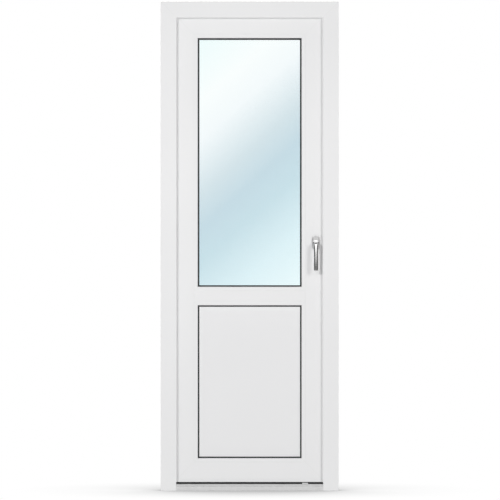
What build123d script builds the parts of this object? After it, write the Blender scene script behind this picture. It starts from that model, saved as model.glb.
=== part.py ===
from build123d import *
import math
import os

# Outward-opening glazed balcony door of plastic profiles, seen from the room:
# X to the right, -Y towards the room, +Y outdoors, Z up.
# The origin is on the underside of the threshold, at the middle of the door.
# All sizes are in millimetres.

# Frame: overall size and section, measured inward from the outer edge
door_w = 800.0
door_h = 2200.0
frame_depth = 70.0
frame_face_w = 69.0
frame_bevel_w = 6.5
frame_bevel_d = 10.0
rebate_w = 57.0
fixing_hole_d = 7.0
fixing_edge = 250.0
fixing_set = 29.0

# Leaf: section, measured inward from the edge of its body
leaf_recess = 17.0
stop_gap = 5.0
side_gap = 11.0
head_gap = 7.5
foot_gap = 9.0
foot_h = 8.5
profile_w = 81.0
flange_lap = 20.0
flange_t = 12.0
flange_gap = 5.0
upstand_t = 24.0
upstand_slope_w = 8.0
upstand_slope_d = 6.0
transom_w = 49.0
transom_z = 875.3

# Glazing and lower panel
bead_w = 17.5
bead_set_back = 0.5
bead_round = 5.0
edge_play = 5.0
gasket_t = 3.0
gasket_tuck = 6.5
gasket_lip = 7.5
pane_t = 4.0
cavity_t = 20.0
spacer_w = 12.0

# Seals
seal_w = 5.0
seal_play = 0.5
frame_seal_inset = 1.5
leaf_seal_inset = 2.0
foot_seal_set = 4.0
foot_seal_d = 22.0
foot_seal_end = 1.0

# Threshold
threshold_h = 29.0
threshold_face_h = 17.0
threshold_lip_d = 2.5
threshold_lip_h = 3.5
threshold_step_d = 3.0
threshold_nose_d = 3.0
threshold_back_drop = 5.0
threshold_back_d = 10.0

# Lock edge: faceplate on the leaf, keeps on the frame
faceplate_w = 16.0
faceplate_t = 2.0
faceplate_set = 20.0
faceplate_end = 250.0
keep_t = 2.0
keep_w = 20.0
keep_h = 90.0
keep_set = 18.0
keep_end = 300.0
foot_block_inset = 93.5
foot_block_w = 27.0
foot_block_play = 3.5
foot_block_d = 9.0
foot_block_lead = 7.0

# Handle
handle_inset = 34.0
handle_z = 1114.0
rose_w = 32.0
rose_h = 66.0
rose_t = 9.0
rose_round = 14.0
collar_r = 13.5
collar_h = 12.5
neck_r = 9.0
neck_play = 0.4
spindle_side = 7.0
spindle_reach = 30.0
spindle_play = 0.8
lever_head_r = 10.5
lever_end_w = 18.6
lever_end_round = 5.0
lever_drop = 125.0
lever_t = 11.0
lever_stand_off = 52.0
lever_edge_round = 3.0

# Hinges, on the outdoor side
hinge_axis_side = 9.0
hinge_axis_out = 8.0
hinge_h = 100.0
hinge_knuckle_r = 8.0
hinge_pin_r = 4.0
hinge_pin_cap_r = 5.5
hinge_pin_cap_h = 2.5
hinge_pin_play = 0.1
hinge_pin_seat_play = 0.02
hinge_middle_h = 38.0
hinge_joint = 0.5
hinge_plate_t = 3.5
hinge_plate_round = 4.0
hinge_edge_round = 0.8
hinge_frame_plate_in = 3.0
hinge_frame_plate_lap = 2.0
hinge_arm_w = 12.0
hinge_leaf_plate_w = 46.0
hinge_end = 230.0

# Planes and lines that follow from the sizes above
frame_in_y = -frame_depth / 2
frame_out_y = frame_depth / 2
stop_w = frame_face_w + frame_bevel_w
leaf_in_y = frame_in_y + leaf_recess
stop_back_y = leaf_in_y - stop_gap
flange_in_y = frame_out_y + flange_gap
leaf_out_y = flange_in_y + flange_t
upstand_in_y = leaf_out_y - upstand_t

frame_x = door_w / 2
rebate_x = frame_x - rebate_w
rebate_z = door_h - rebate_w
leaf_x = rebate_x - side_gap
leaf_top_z = rebate_z - head_gap
leaf_foot_z = threshold_h + foot_gap
leaf_body_z = leaf_foot_z + foot_h

glaze_x = leaf_x - profile_w
glaze_top_z = leaf_top_z - profile_w
glaze_foot_z = leaf_body_z + profile_w
transom_top_z = transom_z + transom_w / 2
transom_foot_z = transom_z - transom_w / 2

outer_gasket_y = upstand_in_y - gasket_t
outer_pane_y = outer_gasket_y - pane_t
spacer_y = outer_pane_y - cavity_t
inner_pane_y = spacer_y - pane_t
inner_gasket_y = inner_pane_y - gasket_t

handle_x = leaf_x - handle_inset
foot_block_x = rebate_x - foot_block_inset

hinge_x = -(leaf_x + flange_lap + hinge_axis_side)
hinge_y = leaf_out_y + hinge_axis_out
hinge_levels = {
    "bottom": hinge_end,
    "middle": door_h / 2,
    "top": door_h - hinge_end,
}
keep_levels = {
    "bottom": keep_end,
    "middle": handle_z,
    "top": door_h - keep_end,
}

reach = frame_depth + leaf_out_y
UP = Vector(0, 0, 1)
DOWN = Vector(0, 0, -1)
RIGHT = Vector(1, 0, 0)
LEFT = Vector(-1, 0, 0)
OUT = Vector(0, 1, 0)


def block(x0, x1, y0, y1, z0, z1):
    """Box between two corners."""
    middle = Pos((x0 + x1) / 2, (y0 + y1) / 2, (z0 + z1) / 2)
    return middle * Box(x1 - x0, y1 - y0, z1 - z0)


def rod(x, y, radius, z0, z1):
    """Upright round bar between two heights."""
    return Pos(x, y, (z0 + z1) / 2) * Cylinder(radius, z1 - z0)


def cross_rod(x, z, radius, y0, y1):
    """Round bar that runs through the door's depth."""
    return Pos(x, (y0 + y1) / 2, z) * Rot(90, 0, 0) * Cylinder(radius, y1 - y0)


def bar(corners, start, inward, length):
    """Straight bar: its section is (inward, depth, corner radius) rows, laid at the start point."""
    plane = Plane(origin=start, x_dir=inward, z_dir=inward.cross(OUT))
    outline = FilletPolyline(
        *[(u, y) for u, y, _ in corners],
        radius=[r for _, _, r in corners],
        close=True,
    )
    return extrude(plane * make_face(outline), amount=length, dir=plane.z_dir)


def prism(outline):
    """Block over an (x, z) outline, through the whole depth of the door."""
    wire = Polyline(*[(x, -reach, z) for x, z in outline], close=True)
    return extrude(make_face(wire), amount=2 * reach, dir=OUT)


def mitred_ring(corners, x0, x1, z0, z1):
    """Four bars of one section round a rectangle, mitred: left, right, top and bottom."""
    low = min(u for u, _, _ in corners)
    high = max(u for u, _, _ in corners)
    outer = [(x0 + low, z0 + low), (x1 - low, z0 + low), (x1 - low, z1 - low), (x0 + low, z1 - low)]
    inner = [(x0 + high, z0 + high), (x1 - high, z0 + high), (x1 - high, z1 - high), (x0 + high, z1 - high)]
    width = x1 - x0 - 2 * low
    height = z1 - z0 - 2 * low
    bars = {
        "bottom": (bar(corners, (x1 - low, 0, z0), UP, width), 0, 1),
        "right": (bar(corners, (x1, 0, z1 - low), LEFT, height), 1, 2),
        "top": (bar(corners, (x0 + low, 0, z1), DOWN, width), 2, 3),
        "left": (bar(corners, (x0, 0, z0 + low), RIGHT, height), 3, 0),
    }
    ring = {}
    for side, (solid, a, b) in bars.items():
        ring[side] = solid & prism([outer[a], outer[b], inner[b], inner[a]])
    return ring


def flat_ring(x0, x1, z0, z1, outer_inset, inner_inset, y0, y1):
    """Rectangular ring between two insets from a rectangle."""
    outer = block(x0 + outer_inset, x1 - outer_inset, y0, y1, z0 + outer_inset, z1 - outer_inset)
    inner = block(x0 + inner_inset, x1 - inner_inset, y0, y1, z0 + inner_inset, z1 - inner_inset)
    return outer - inner


def arch_strip(half_w, top_z, foot_z, width, y0, y1):
    """Strip up one side, across the top and down the other side."""
    outer = block(-half_w, half_w, y0, y1, foot_z, top_z)
    inner = block(-half_w + width, half_w - width, y0, y1, foot_z, top_z - width)
    return outer - inner


def make_frame():
    """Head and two jambs of one stepped section, mitred at the top and cut square at the floor.

    The stop ends at the leaf's foot, where the threshold and the bottom seal pass under it.
    """
    section = [
        (0, frame_in_y, 1.0),
        (frame_face_w, frame_in_y, 1.5),
        (stop_w, frame_in_y + frame_bevel_d, 1.0),
        (stop_w, stop_back_y, 0.5),
        (rebate_w, stop_back_y, 0),
        (rebate_w, frame_out_y, 0.8),
        (0, frame_out_y, 0.8),
    ]
    hidden = stop_w * 2
    ring = mitred_ring(section, -frame_x, frame_x, -hidden, door_h)
    above_floor = block(-frame_x, frame_x, -reach, reach, 0, door_h)
    frame = {side: ring[side] & above_floor for side in ("left", "right", "top")}
    face_x = frame_x - frame_face_w
    for side, x0, x1, stop_x in (
        ("left", -frame_x, -rebate_x, -face_x),
        ("right", rebate_x, frame_x, face_x),
    ):
        edge_x = math.copysign(frame_x - 2 * stop_w, stop_x)
        low_x, high_x = sorted((stop_x, edge_x))
        frame[side] -= block(low_x, high_x, -reach, stop_back_y, 0, leaf_foot_z)
        for z in (fixing_edge, door_h - fixing_edge):
            middle = Pos((x0 + x1) / 2, stop_back_y + fixing_set, z)
            frame[side] -= middle * Rot(0, 90, 0) * Cylinder(fixing_hole_d / 2, rebate_w * 2)
    return frame


def make_threshold(frame):
    """Low threshold with a lip along its room edge, scribed to the two jambs."""
    lip_y = frame_in_y + threshold_lip_d
    lip_z = threshold_face_h + threshold_lip_h
    step_y = lip_y + threshold_step_d
    nose_z = threshold_h - threshold_lip_d / 2
    section = [
        (0, frame_in_y, 0),
        (threshold_face_h, frame_in_y, 1.0),
        (lip_z, lip_y, 1.0),
        (lip_z, step_y, 0),
        (nose_z, step_y + threshold_nose_d, 0.5),
        (threshold_h, step_y + 2 * threshold_nose_d, 0.5),
        (threshold_h, frame_out_y - threshold_back_d, 1.0),
        (threshold_h - threshold_back_drop, frame_out_y, 1.0),
        (0, frame_out_y, 0),
    ]
    full = bar(section, (rebate_x, 0, 0), UP, 2 * rebate_x)
    return full - frame["left"] - frame["right"]


def make_leaf():
    """Two stiles and two rails with an outdoor flange and glazing upstand, and the foot under the bottom rail."""
    slope_y = leaf_out_y - upstand_slope_d
    section = [
        (0, leaf_in_y, 1.0),
        (profile_w, leaf_in_y, 0.8),
        (profile_w, upstand_in_y, 0),
        (profile_w + bead_w, upstand_in_y, 0.8),
        (profile_w + bead_w, slope_y, 0.8),
        (profile_w + bead_w - upstand_slope_w, leaf_out_y, 1.5),
        (-flange_lap, leaf_out_y, 2.0),
        (-flange_lap, flange_in_y, 1.0),
        (0, flange_in_y, 0),
    ]
    ring = mitred_ring(section, -leaf_x, leaf_x, leaf_body_z, leaf_top_z)
    foot = block(-leaf_x, leaf_x, leaf_in_y, flange_in_y, leaf_foot_z, leaf_body_z)
    ring["bottom"] = ring["bottom"] + foot
    half = spindle_side * math.sqrt(2) / 2 + spindle_play
    hole_end = leaf_in_y + spindle_reach + spindle_play
    ring["right"] -= cross_rod(handle_x, handle_z, half, leaf_in_y - 1, hole_end)
    return ring


def make_transom():
    """Bar with a glazing upstand above and below, its ends cut to the stiles' section."""
    half = transom_w / 2
    tip = half + bead_w
    slope_y = leaf_out_y - upstand_slope_d
    sight_x = glaze_x - bead_w
    section = [
        (-half, leaf_in_y, 0.8),
        (half, leaf_in_y, 0.8),
        (half, upstand_in_y, 0),
        (tip, upstand_in_y, 0.8),
        (tip, slope_y, 0.8),
        (tip - upstand_slope_w, leaf_out_y, 1.5),
        (upstand_slope_w - tip, leaf_out_y, 1.5),
        (-tip, slope_y, 0.8),
        (-tip, upstand_in_y, 0.8),
        (-half, upstand_in_y, 0),
    ]
    full = bar(section, (glaze_x, 0, transom_z), UP, 2 * glaze_x)
    right_end = [
        (glaze_x, leaf_in_y),
        (glaze_x, upstand_in_y),
        (sight_x, upstand_in_y),
        (sight_x, slope_y),
        (sight_x + upstand_slope_w, leaf_out_y),
    ]
    left_end = [(-x, y) for x, y in reversed(right_end)]
    plan = Polyline(*[(x, y, transom_z - reach) for x, y in right_end + left_end], close=True)
    return full & extrude(make_face(plan), amount=2 * reach, dir=UP)


def make_beads(z0, z1):
    """Four glazing beads round one opening, rounded at the sight edge."""
    front_y = leaf_in_y + bead_set_back
    section = [
        (0, front_y, 0.8),
        (bead_w, front_y, bead_round),
        (bead_w, inner_gasket_y, 0.8),
        (0, inner_gasket_y, 0),
    ]
    return mitred_ring(section, -glaze_x, glaze_x, z0, z1)


def make_gasket(z0, z1, y0):
    """Ring of rubber that shows past the bead and reaches a little under it."""
    outer_inset = bead_w - gasket_tuck
    return flat_ring(-glaze_x, glaze_x, z0, z1, outer_inset, bead_w + gasket_lip, y0, y0 + gasket_t)


def make_infill(z0, z1, y0, y1):
    """Flat sheet with play all round inside one opening."""
    x = glaze_x - edge_play
    return block(-x, x, y0, y1, z0 + edge_play, z1 - edge_play)


def hinge_plate(x0, x1, foot_y, z0, z1, outer_corners):
    """Flat plate with two rounded corners away from the knuckle and a softened outer edge."""
    plate = block(x0, x1, foot_y, foot_y + hinge_plate_t, z0, z1)
    corners = plate.edges().filter_by(Axis.Y).group_by(Axis.X)[outer_corners]
    plate = fillet(corners, hinge_plate_round)
    return fillet(plate.faces().sort_by(Axis.Y)[-1].edges(), hinge_edge_round)


def make_hinge(level):
    """Surface hinge: a frame plate with two knuckles, a leaf plate with the middle one, and the pin."""
    z0 = level - hinge_h / 2
    z1 = level + hinge_h / 2
    middle_z0 = level - hinge_middle_h / 2
    middle_z1 = level + hinge_middle_h / 2
    arm_x = hinge_x - hinge_arm_w
    frame_part = hinge_plate(
        -frame_x + hinge_frame_plate_in, arm_x + hinge_frame_plate_lap, frame_out_y, z0, z1, 0
    )
    for a, b in ((z0, middle_z0 - hinge_joint), (middle_z1 + hinge_joint, z1)):
        arm = block(arm_x, hinge_x, frame_out_y, hinge_y, a, b)
        frame_part = frame_part + arm + rod(hinge_x, hinge_y, hinge_knuckle_r, a, b)
    frame_part = frame_part - rod(hinge_x, hinge_y, hinge_pin_r + hinge_pin_seat_play, z0, z1)
    leaf_plate = hinge_plate(
        hinge_x, hinge_x + hinge_leaf_plate_w, leaf_out_y, middle_z0, middle_z1, -1
    )
    leaf_part = leaf_plate + rod(hinge_x, hinge_y, hinge_knuckle_r, middle_z0, middle_z1)
    leaf_part = leaf_part - rod(hinge_x, hinge_y, hinge_pin_r + hinge_pin_play, middle_z0, middle_z1)
    pin = rod(hinge_x, hinge_y, hinge_pin_r, z0, z1)
    pin = pin + rod(hinge_x, hinge_y, hinge_pin_cap_r, z0 - hinge_pin_cap_h, z0)
    pin = pin + rod(hinge_x, hinge_y, hinge_pin_cap_r, z1, z1 + hinge_pin_cap_h)
    return frame_part, leaf_part, pin


def make_rose():
    """Oblong plate under the handle with a raised collar, bored for the neck."""
    outline = Plane.XZ * RectangleRounded(rose_w, rose_h, rose_round)
    plate = Pos(handle_x, leaf_in_y, handle_z) * extrude(outline, amount=rose_t)
    edge = plate.faces().sort_by(Axis.Y)[0].edges()
    plate = fillet(edge, rose_t / 4)
    collar = cross_rod(handle_x, handle_z, collar_r, leaf_in_y - collar_h, leaf_in_y)
    collar = fillet(collar.edges().group_by(Axis.Y)[0], (collar_h - rose_t) / 2)
    plate = plate + collar
    return plate - cross_rod(handle_x, handle_z, neck_r + neck_play, leaf_in_y - 2 * collar_h, leaf_in_y)


def make_lever():
    """Round neck that carries a flat grip, which hangs down and narrows to its end."""
    front_y = leaf_in_y - lever_stand_off
    back_y = front_y + lever_t
    end = lever_end_w / 2
    foot_z = -lever_drop
    spread = math.asin((lever_head_r - end) / lever_drop)
    side_x = lever_head_r * math.cos(spread)
    side_z = lever_head_r * math.sin(spread)
    head = Pos(0, 0, 0) * Circle(lever_head_r)
    blade = make_face(
        Polyline((-side_x, -side_z), (-end, foot_z), (end, foot_z), (side_x, -side_z), close=True)
    )
    blade = fillet(blade.vertices().group_by(Axis.Y)[0], lever_end_round)
    grip = extrude(Plane.XZ * (head + blade), amount=lever_t)
    grip = Pos(handle_x, back_y, handle_z) * grip
    rims = grip.faces().sort_by(Axis.Y)
    grip = fillet(rims[0].edges() + rims[-1].edges(), lever_edge_round)
    neck = cross_rod(handle_x, handle_z, neck_r, back_y - lever_t / 2, leaf_in_y - neck_play)
    return grip + neck


def make_spindle():
    """Square bar from the neck into the lock stile."""
    half = spindle_side / 2
    y0 = leaf_in_y - neck_play
    y1 = leaf_in_y + spindle_reach
    return block(handle_x - half, handle_x + half, y0, y1, handle_z - half, handle_z + half)


nodes = {}

frame = make_frame()
nodes["hinge_jamb"] = frame["left"]
nodes["lock_jamb"] = frame["right"]
nodes["frame_head"] = frame["top"]
nodes["threshold"] = make_threshold(frame)

frame_seal_x = leaf_x - frame_seal_inset
nodes["frame_seal"] = arch_strip(
    frame_seal_x, leaf_top_z - frame_seal_inset, leaf_foot_z, seal_w, stop_back_y, leaf_in_y - seal_play
)
leaf_seal_x = leaf_x + flange_lap - leaf_seal_inset
nodes["leaf_seal"] = arch_strip(
    leaf_seal_x,
    leaf_top_z + flange_lap - leaf_seal_inset,
    leaf_body_z,
    seal_w,
    frame_out_y + seal_play,
    flange_in_y,
)
foot_seal_x = leaf_x - foot_seal_end
foot_seal_y = leaf_in_y + foot_seal_set
nodes["bottom_seal"] = block(
    -foot_seal_x, foot_seal_x, foot_seal_y, foot_seal_y + foot_seal_d, threshold_h + seal_play, leaf_foot_z
)

leaf = make_leaf()
nodes["hinge_stile"] = leaf["left"]
nodes["lock_stile"] = leaf["right"]
nodes["top_rail"] = leaf["top"]
nodes["bottom_rail"] = leaf["bottom"]
nodes["transom"] = make_transom()

openings = {"glass": (transom_top_z, glaze_top_z), "panel": (glaze_foot_z, transom_foot_z)}
for infill, (z0, z1) in openings.items():
    for side, bead in make_beads(z0, z1).items():
        nodes[f"{infill}_bead_{side}"] = bead
    nodes[f"{infill}_gasket_inside"] = make_gasket(z0, z1, inner_gasket_y)
    nodes[f"{infill}_gasket_outside"] = make_gasket(z0, z1, outer_gasket_y)

glass_z0, glass_z1 = openings["glass"]
nodes["glass_pane_inside"] = make_infill(glass_z0, glass_z1, inner_pane_y, spacer_y)
nodes["glass_pane_outside"] = make_infill(glass_z0, glass_z1, outer_pane_y, outer_gasket_y)
nodes["glass_spacer"] = flat_ring(
    -glaze_x, glaze_x, glass_z0, glass_z1, edge_play, edge_play + spacer_w, spacer_y, outer_pane_y
)
panel_z0, panel_z1 = openings["panel"]
nodes["lower_panel"] = make_infill(panel_z0, panel_z1, inner_pane_y, outer_gasket_y)

nodes["lock_faceplate"] = block(
    leaf_x,
    leaf_x + faceplate_t,
    leaf_in_y + faceplate_set,
    leaf_in_y + faceplate_set + faceplate_w,
    faceplate_end,
    door_h - faceplate_end,
)
keep_y = leaf_in_y + keep_set
for level, z in keep_levels.items():
    nodes[f"keep_{level}"] = block(
        rebate_x - keep_t, rebate_x, keep_y, keep_y + keep_w, z - keep_h / 2, z + keep_h / 2
    )
nodes["threshold_block"] = block(
    foot_block_x - foot_block_w / 2,
    foot_block_x + foot_block_w / 2,
    leaf_in_y - foot_block_lead,
    leaf_in_y - foot_block_lead + foot_block_d,
    threshold_h,
    leaf_foot_z - foot_block_play,
)

for level, z in hinge_levels.items():
    frame_part, leaf_part, pin = make_hinge(z)
    nodes[f"hinge_{level}_frame_part"] = frame_part
    nodes[f"hinge_{level}_leaf_part"] = leaf_part
    nodes[f"hinge_{level}_pin"] = pin

nodes["handle_rose"] = make_rose()
nodes["handle_lever"] = make_lever()
nodes["handle_spindle"] = make_spindle()

os.makedirs("parts", exist_ok=True)
for name, shape in nodes.items():
    export_step(shape, f"parts/{name}.step")
print(len(nodes), "nodes")
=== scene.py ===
import math

import bmesh
import bpy
import numpy as np
from bpy.props import FloatProperty, FloatVectorProperty, IntProperty, PointerProperty
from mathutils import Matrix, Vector


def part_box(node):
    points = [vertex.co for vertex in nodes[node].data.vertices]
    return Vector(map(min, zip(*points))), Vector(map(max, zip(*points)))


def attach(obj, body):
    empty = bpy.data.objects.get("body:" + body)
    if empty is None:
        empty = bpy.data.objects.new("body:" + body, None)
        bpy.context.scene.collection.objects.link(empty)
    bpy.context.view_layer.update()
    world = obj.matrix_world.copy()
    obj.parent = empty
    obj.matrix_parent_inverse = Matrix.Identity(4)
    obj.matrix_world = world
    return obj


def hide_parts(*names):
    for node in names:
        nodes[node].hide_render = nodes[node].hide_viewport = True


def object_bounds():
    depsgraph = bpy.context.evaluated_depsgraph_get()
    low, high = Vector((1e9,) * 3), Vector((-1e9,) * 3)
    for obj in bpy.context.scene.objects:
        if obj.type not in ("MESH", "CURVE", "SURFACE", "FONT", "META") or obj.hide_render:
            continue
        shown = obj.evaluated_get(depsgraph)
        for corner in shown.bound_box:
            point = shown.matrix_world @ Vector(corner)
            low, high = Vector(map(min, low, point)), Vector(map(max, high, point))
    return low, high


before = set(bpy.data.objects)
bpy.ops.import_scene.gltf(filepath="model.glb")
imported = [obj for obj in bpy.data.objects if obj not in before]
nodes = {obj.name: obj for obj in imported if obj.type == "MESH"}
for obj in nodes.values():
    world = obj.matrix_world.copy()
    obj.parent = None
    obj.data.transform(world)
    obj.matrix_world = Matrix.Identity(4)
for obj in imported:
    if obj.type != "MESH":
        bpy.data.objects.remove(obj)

bl_info = {
    "name": "Balcony Door Finish",
    "version": (1, 0, 0),
    "blender": (4, 5, 0),
    "location": "View3D > Sidebar > Balcony Door",
    "description": "Finishes, seals, handle and fittings of a glazed balcony door",
    "category": "Object",
}

# Metres, X to the right, -Y towards the room, +Y outdoors, Z up.
cad_low, cad_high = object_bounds()

SIDES = ("left", "right", "top", "bottom")
LEVELS = ("bottom", "middle", "top")

# A size too small to see, and the distance at which two points are one
HAIR = 1e-6
SAME_POINT = 1e-7
# Half width of a weld line's full tone, and where it has faded
WELD_FADE = (0.0003, 0.0016)
# Height over which the threshold's painted shade sets in
PAINTED_SHADE_FADE = 0.0010
# Thickness of a gasket lip's edge, as a share of its foot
LIP_EDGE = 0.12
# Steps down the grip, and how many times the waist's bow would fit it
GRIP_STEPS = 30
WAIST_FIT = 1.4
# Screws of a hinge's leaf plate, from its outer edge and its middle height
LEAF_SCREWS = ((-0.030, -0.009), (-0.030, 0.009), (-0.010, 0.0))
# Slots and screws along the faceplate, as shares of its length
FACEPLATE_SLOTS = (0.09, 0.36, 0.64, 0.91)
FACEPLATE_SCREWS = (0.012, 0.17, 0.27, 0.45, 0.55, 0.73, 0.83, 0.988)
# Screws of a keep, from its middle height, and the depth of the slots in keeps and faceplate
KEEP_SCREWS = (-0.034, 0.034)
SLOT_D = 0.0016
# The window that gloss shows: heights are sines of the angle above the eye
WINDOW_FOOT = (-0.12, -0.015)
WINDOW_TOP = (0.70, 0.90)
WINDOW_FLARE = 0.35
WINDOW_EDGE = (-0.06, 0.10)
WINDOW_GLOW = (0.04, 0.20)
# Width of the camera's sensor in millimetres
SENSOR_W = 36.0


def length(name, text, default):
    """A property for a size in metres."""
    return FloatProperty(name=name, description=text, default=default, unit="LENGTH", precision=5)


def share(name, text, default):
    """A property for a plain number."""
    return FloatProperty(name=name, description=text, default=default)


def angle(name, text, degrees):
    """A property for an angle, given in degrees."""
    return FloatProperty(name=name, description=text, default=math.radians(degrees), subtype="ANGLE")


def colour(name, text, default):
    """A property for a linear colour."""
    return FloatVectorProperty(
        name=name, description=text, default=default, subtype="COLOR", min=0.0, max=1.0
    )


def count(name, text, default):
    """A property for a whole number."""
    return IntProperty(name=name, description=text, default=default, min=1)


# Sizes and colours that a user would change


class DoorColours(bpy.types.PropertyGroup):
    """Colours of the finishes."""

    plastic: colour("Profiles", "White plastic of the frame and the leaf", (0.842, 0.842, 0.846))
    panel: colour("Panel", "White skin of the lower panel", (0.83, 0.83, 0.836))
    rubber: colour("Gaskets", "Black rubber round the glass and under the leaf", (0.028, 0.030, 0.031))
    soft_seal: colour("Seals", "Grey rubber between leaf and frame", (0.26, 0.26, 0.265))
    satin: colour("Handle", "Polished metal of the lever", (0.86, 0.86, 0.86))
    rose: colour("Rose", "Brushed metal of the rose", (0.70, 0.70, 0.70))
    anodised: colour("Threshold", "Anodised aluminium of the threshold", (0.72, 0.72, 0.72))
    zinc: colour("Lock edge", "Zinc-plated steel of faceplate and keeps", (0.62, 0.63, 0.65))
    steel: colour("Pins and screws", "Bright steel of pins, screws and spindle", (0.66, 0.66, 0.67))
    spacer: colour("Spacer", "Matt aluminium between the panes", (0.58, 0.59, 0.60))
    paint: colour("Hinges", "White powder coat of the hinges", (0.80, 0.80, 0.80))
    grey_plastic: colour("Threshold block", "Moulded grey plastic", (0.66, 0.66, 0.66))


class HandleSizes(bpy.types.PropertyGroup):
    """Sizes of the handle that the solids leave open."""

    elbow: length("Elbow radius", "Radius of the bend's middle line", 0.0125)
    neck_h: length("Neck height", "Half the height of the neck where it meets the elbow", 0.0056)
    neck_gap: length("Neck gap", "Gap between the neck and the hole in the rose", 0.0004)
    grip_t: length("Grip thickness", "Half the thickness of the grip", 0.0055)
    tip_t: length("Tip thickness", "Half the thickness of the grip at its end", 0.0048)
    narrowing: length("Narrowing", "How much narrower half the grip is at its end", 0.0005)
    lean_top: angle("Lean at the elbow", "How far the grip leans forward under the elbow", 6.5)
    lean_tip: angle("Lean at the tip", "How far the grip leans forward at its end", -5.5)
    squareness: share("Squareness", "Power of the grip's rounded section, 2 is an ellipse", 2.1)
    end_round: length("End rounding", "Rounding at the end of the grip", 0.0014)
    waist: length("Waist", "How much the grip narrows under the elbow", 0.0006)
    rose_h: length("Rose height", "Height of the rose's upright edge", 0.0070)
    rose_edge: length("Rose edge", "Rounding along the edge of the rose", 0.0026)
    rose_rise: length("Rose rise", "How far the rose rises from its edge to the collar", 0.0003)
    collar_r: length("Collar radius", "Radius of the collar at its foot", 0.0135)
    collar_lip: length("Collar lip", "Rounding of the collar's outer edge", 0.0008)
    collar_slope: length("Collar slope", "How far the collar's ring slopes outwards", 0.0010)
    boss_rise: length("Boss rise", "How far the lever's round boss stands out of the collar", 0.0004)
    boss_slope: length("Boss slope", "How far the boss rises from its edge to the neck", 0.0012)
    bore_r: length("Bore radius", "Radius of the hole that the neck turns in", 0.0094)


class SealSizes(bpy.types.PropertyGroup):
    """Sizes of gaskets and seals."""

    lip_power: share("Lip fullness", "Power of the gasket lip's rounding, 2 is an ellipse", 2.2)
    lip_reach: share("Lip reach", "How much of its room the gasket lip fills", 0.87)
    bulb_power: share("Bulb fullness", "Power of the bulb's rounding, 2 is an ellipse", 2.4)
    ridges: count("Ridges", "Ridges under the bottom seal", 3)
    ridge_depth: length("Ridge depth", "Depth of the grooves between the ridges", 0.004)


class FittingSizes(bpy.types.PropertyGroup):
    """Sizes of screws, slots, plates and the painted shade on the threshold's nose."""

    screw_r: length("Screw head radius", "Radius of the screw heads", 0.0040)
    screw_h: length("Screw head height", "Height of the screw heads", 0.0012)
    recess_w: length("Recess width", "Half width of the cross recess", 0.0006)
    recess_r: length("Recess reach", "Reach of the cross recess", 0.0024)
    recess_d: length("Recess depth", "Depth of the cross recess", 0.0010)
    pocket_w: length("Pocket width", "Width of the slots in the faceplate", 0.007)
    pocket_l: length("Pocket length", "Length of the slots in the faceplate", 0.034)
    keep_pocket_w: length("Keep slot width", "Width of the slot in a keep", 0.011)
    keep_pocket_l: length("Keep slot length", "Length of the slot in a keep", 0.044)
    plate_edge: length("Plate edge", "Rounding of the plates' edges", 0.0005)
    edge_round: length("Block edge", "Rounding of the threshold block", 0.0012)
    # Painted shade: above this height the threshold's tone is darkened for the shade under the leaf
    painted_shade_z: length("Tread foot", "Height above which feet have dulled the threshold", 0.0204)
    painted_shade_tone: share("Tread dulling", "What is left of its tone above that height", 0.82)
    plate_t: length("Hinge plate", "Thickness of the hinges' plates", 0.0035)
    frame_screw_x: length("Frame screw place", "From a frame plate's outer edge to its screws", 0.0135)
    frame_screw_step: length("Frame screw step", "Between the screws of a frame plate", 0.037)


class StageSizes(bpy.types.PropertyGroup):
    """Camera, lamps, floor and background."""

    distance: length("Camera distance", "From the door's front to the camera", 20.0)
    view_w: length("View width", "Width of the picture at the door's front", 2.250)
    view_x: length("View middle", "Sideways place of the picture's middle", 0.0014)
    view_z: length("View height", "Height of the picture's middle", 1.0827)
    lamp_distance: length("Lamp distance", "Level distance of the side lamps from the handle", 6.5)
    left_azimuth: angle("Left lamp turn", "Turn of the left lamps from straight ahead", 31.0)
    right_azimuth: angle("Right lamp turn", "Turn of the right lamps from straight ahead", 34.0)
    lamp_elevation: angle("Lamp elevation", "Height of the side lamps above the handle", 16.5)
    left_spread: angle("Left lamp size", "Apparent size of the left and back lamps", 3.6)
    right_spread: angle("Right lamp size", "Apparent size of the right lamp", 14.0)
    front_spread: angle("Front lamp size", "Apparent size of the near lamp", 24.0)
    left_light: share("Left light", "Light of the left lamp on a surface that faces it", 0.37)
    right_light: share("Right light", "Light of the right lamp on a surface that faces it", 0.27)
    back_light: share("Back light", "Light of the two lamps on the outdoor side", 0.62)
    front_light: share("Front light", "Light of the near lamp in front", 0.17)
    front_distance: length("Front distance", "Distance of the near lamp in front", 1.5)
    front_z: length("Front height", "Height that the near lamp stands at", 1.52)
    ambient: share("Ambient light", "Even light from all round", 0.19)
    floor_bounce: share("Floor bounce", "How bright the floor is to the door, where 1 is white", 0.70)
    floor_half: length("Floor size", "Half the floor's width", 3.0)
    shadow_reach: length("Shadow reach", "How far from the door its soft shadow runs out", 0.68)
    shadow_depth: share("Shadow depth", "How dark the floor is where all of its light is hidden", 1.1)
    window_w: share("Window width", "Half width of the window that gloss shows, at eye level", 0.14)
    window_top_w: share("Window width above", "Half width of that window at its widest", 0.55)
    window_light: share("Window light", "How bright that window is above the eye", 1.4)
    wall_light: share("Wall light", "How bright the walls beside that window are", 0.14)


class BalconyDoor(bpy.types.PropertyGroup):
    """All settings of the door's finish."""

    colours: PointerProperty(type=DoorColours)
    handle: PointerProperty(type=HandleSizes)
    seals: PointerProperty(type=SealSizes)
    fittings: PointerProperty(type=FittingSizes)
    stage: PointerProperty(type=StageSizes)


def settings():
    """The door's settings on this scene."""
    return bpy.context.scene.balcony_door


# Surfaces


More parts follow.
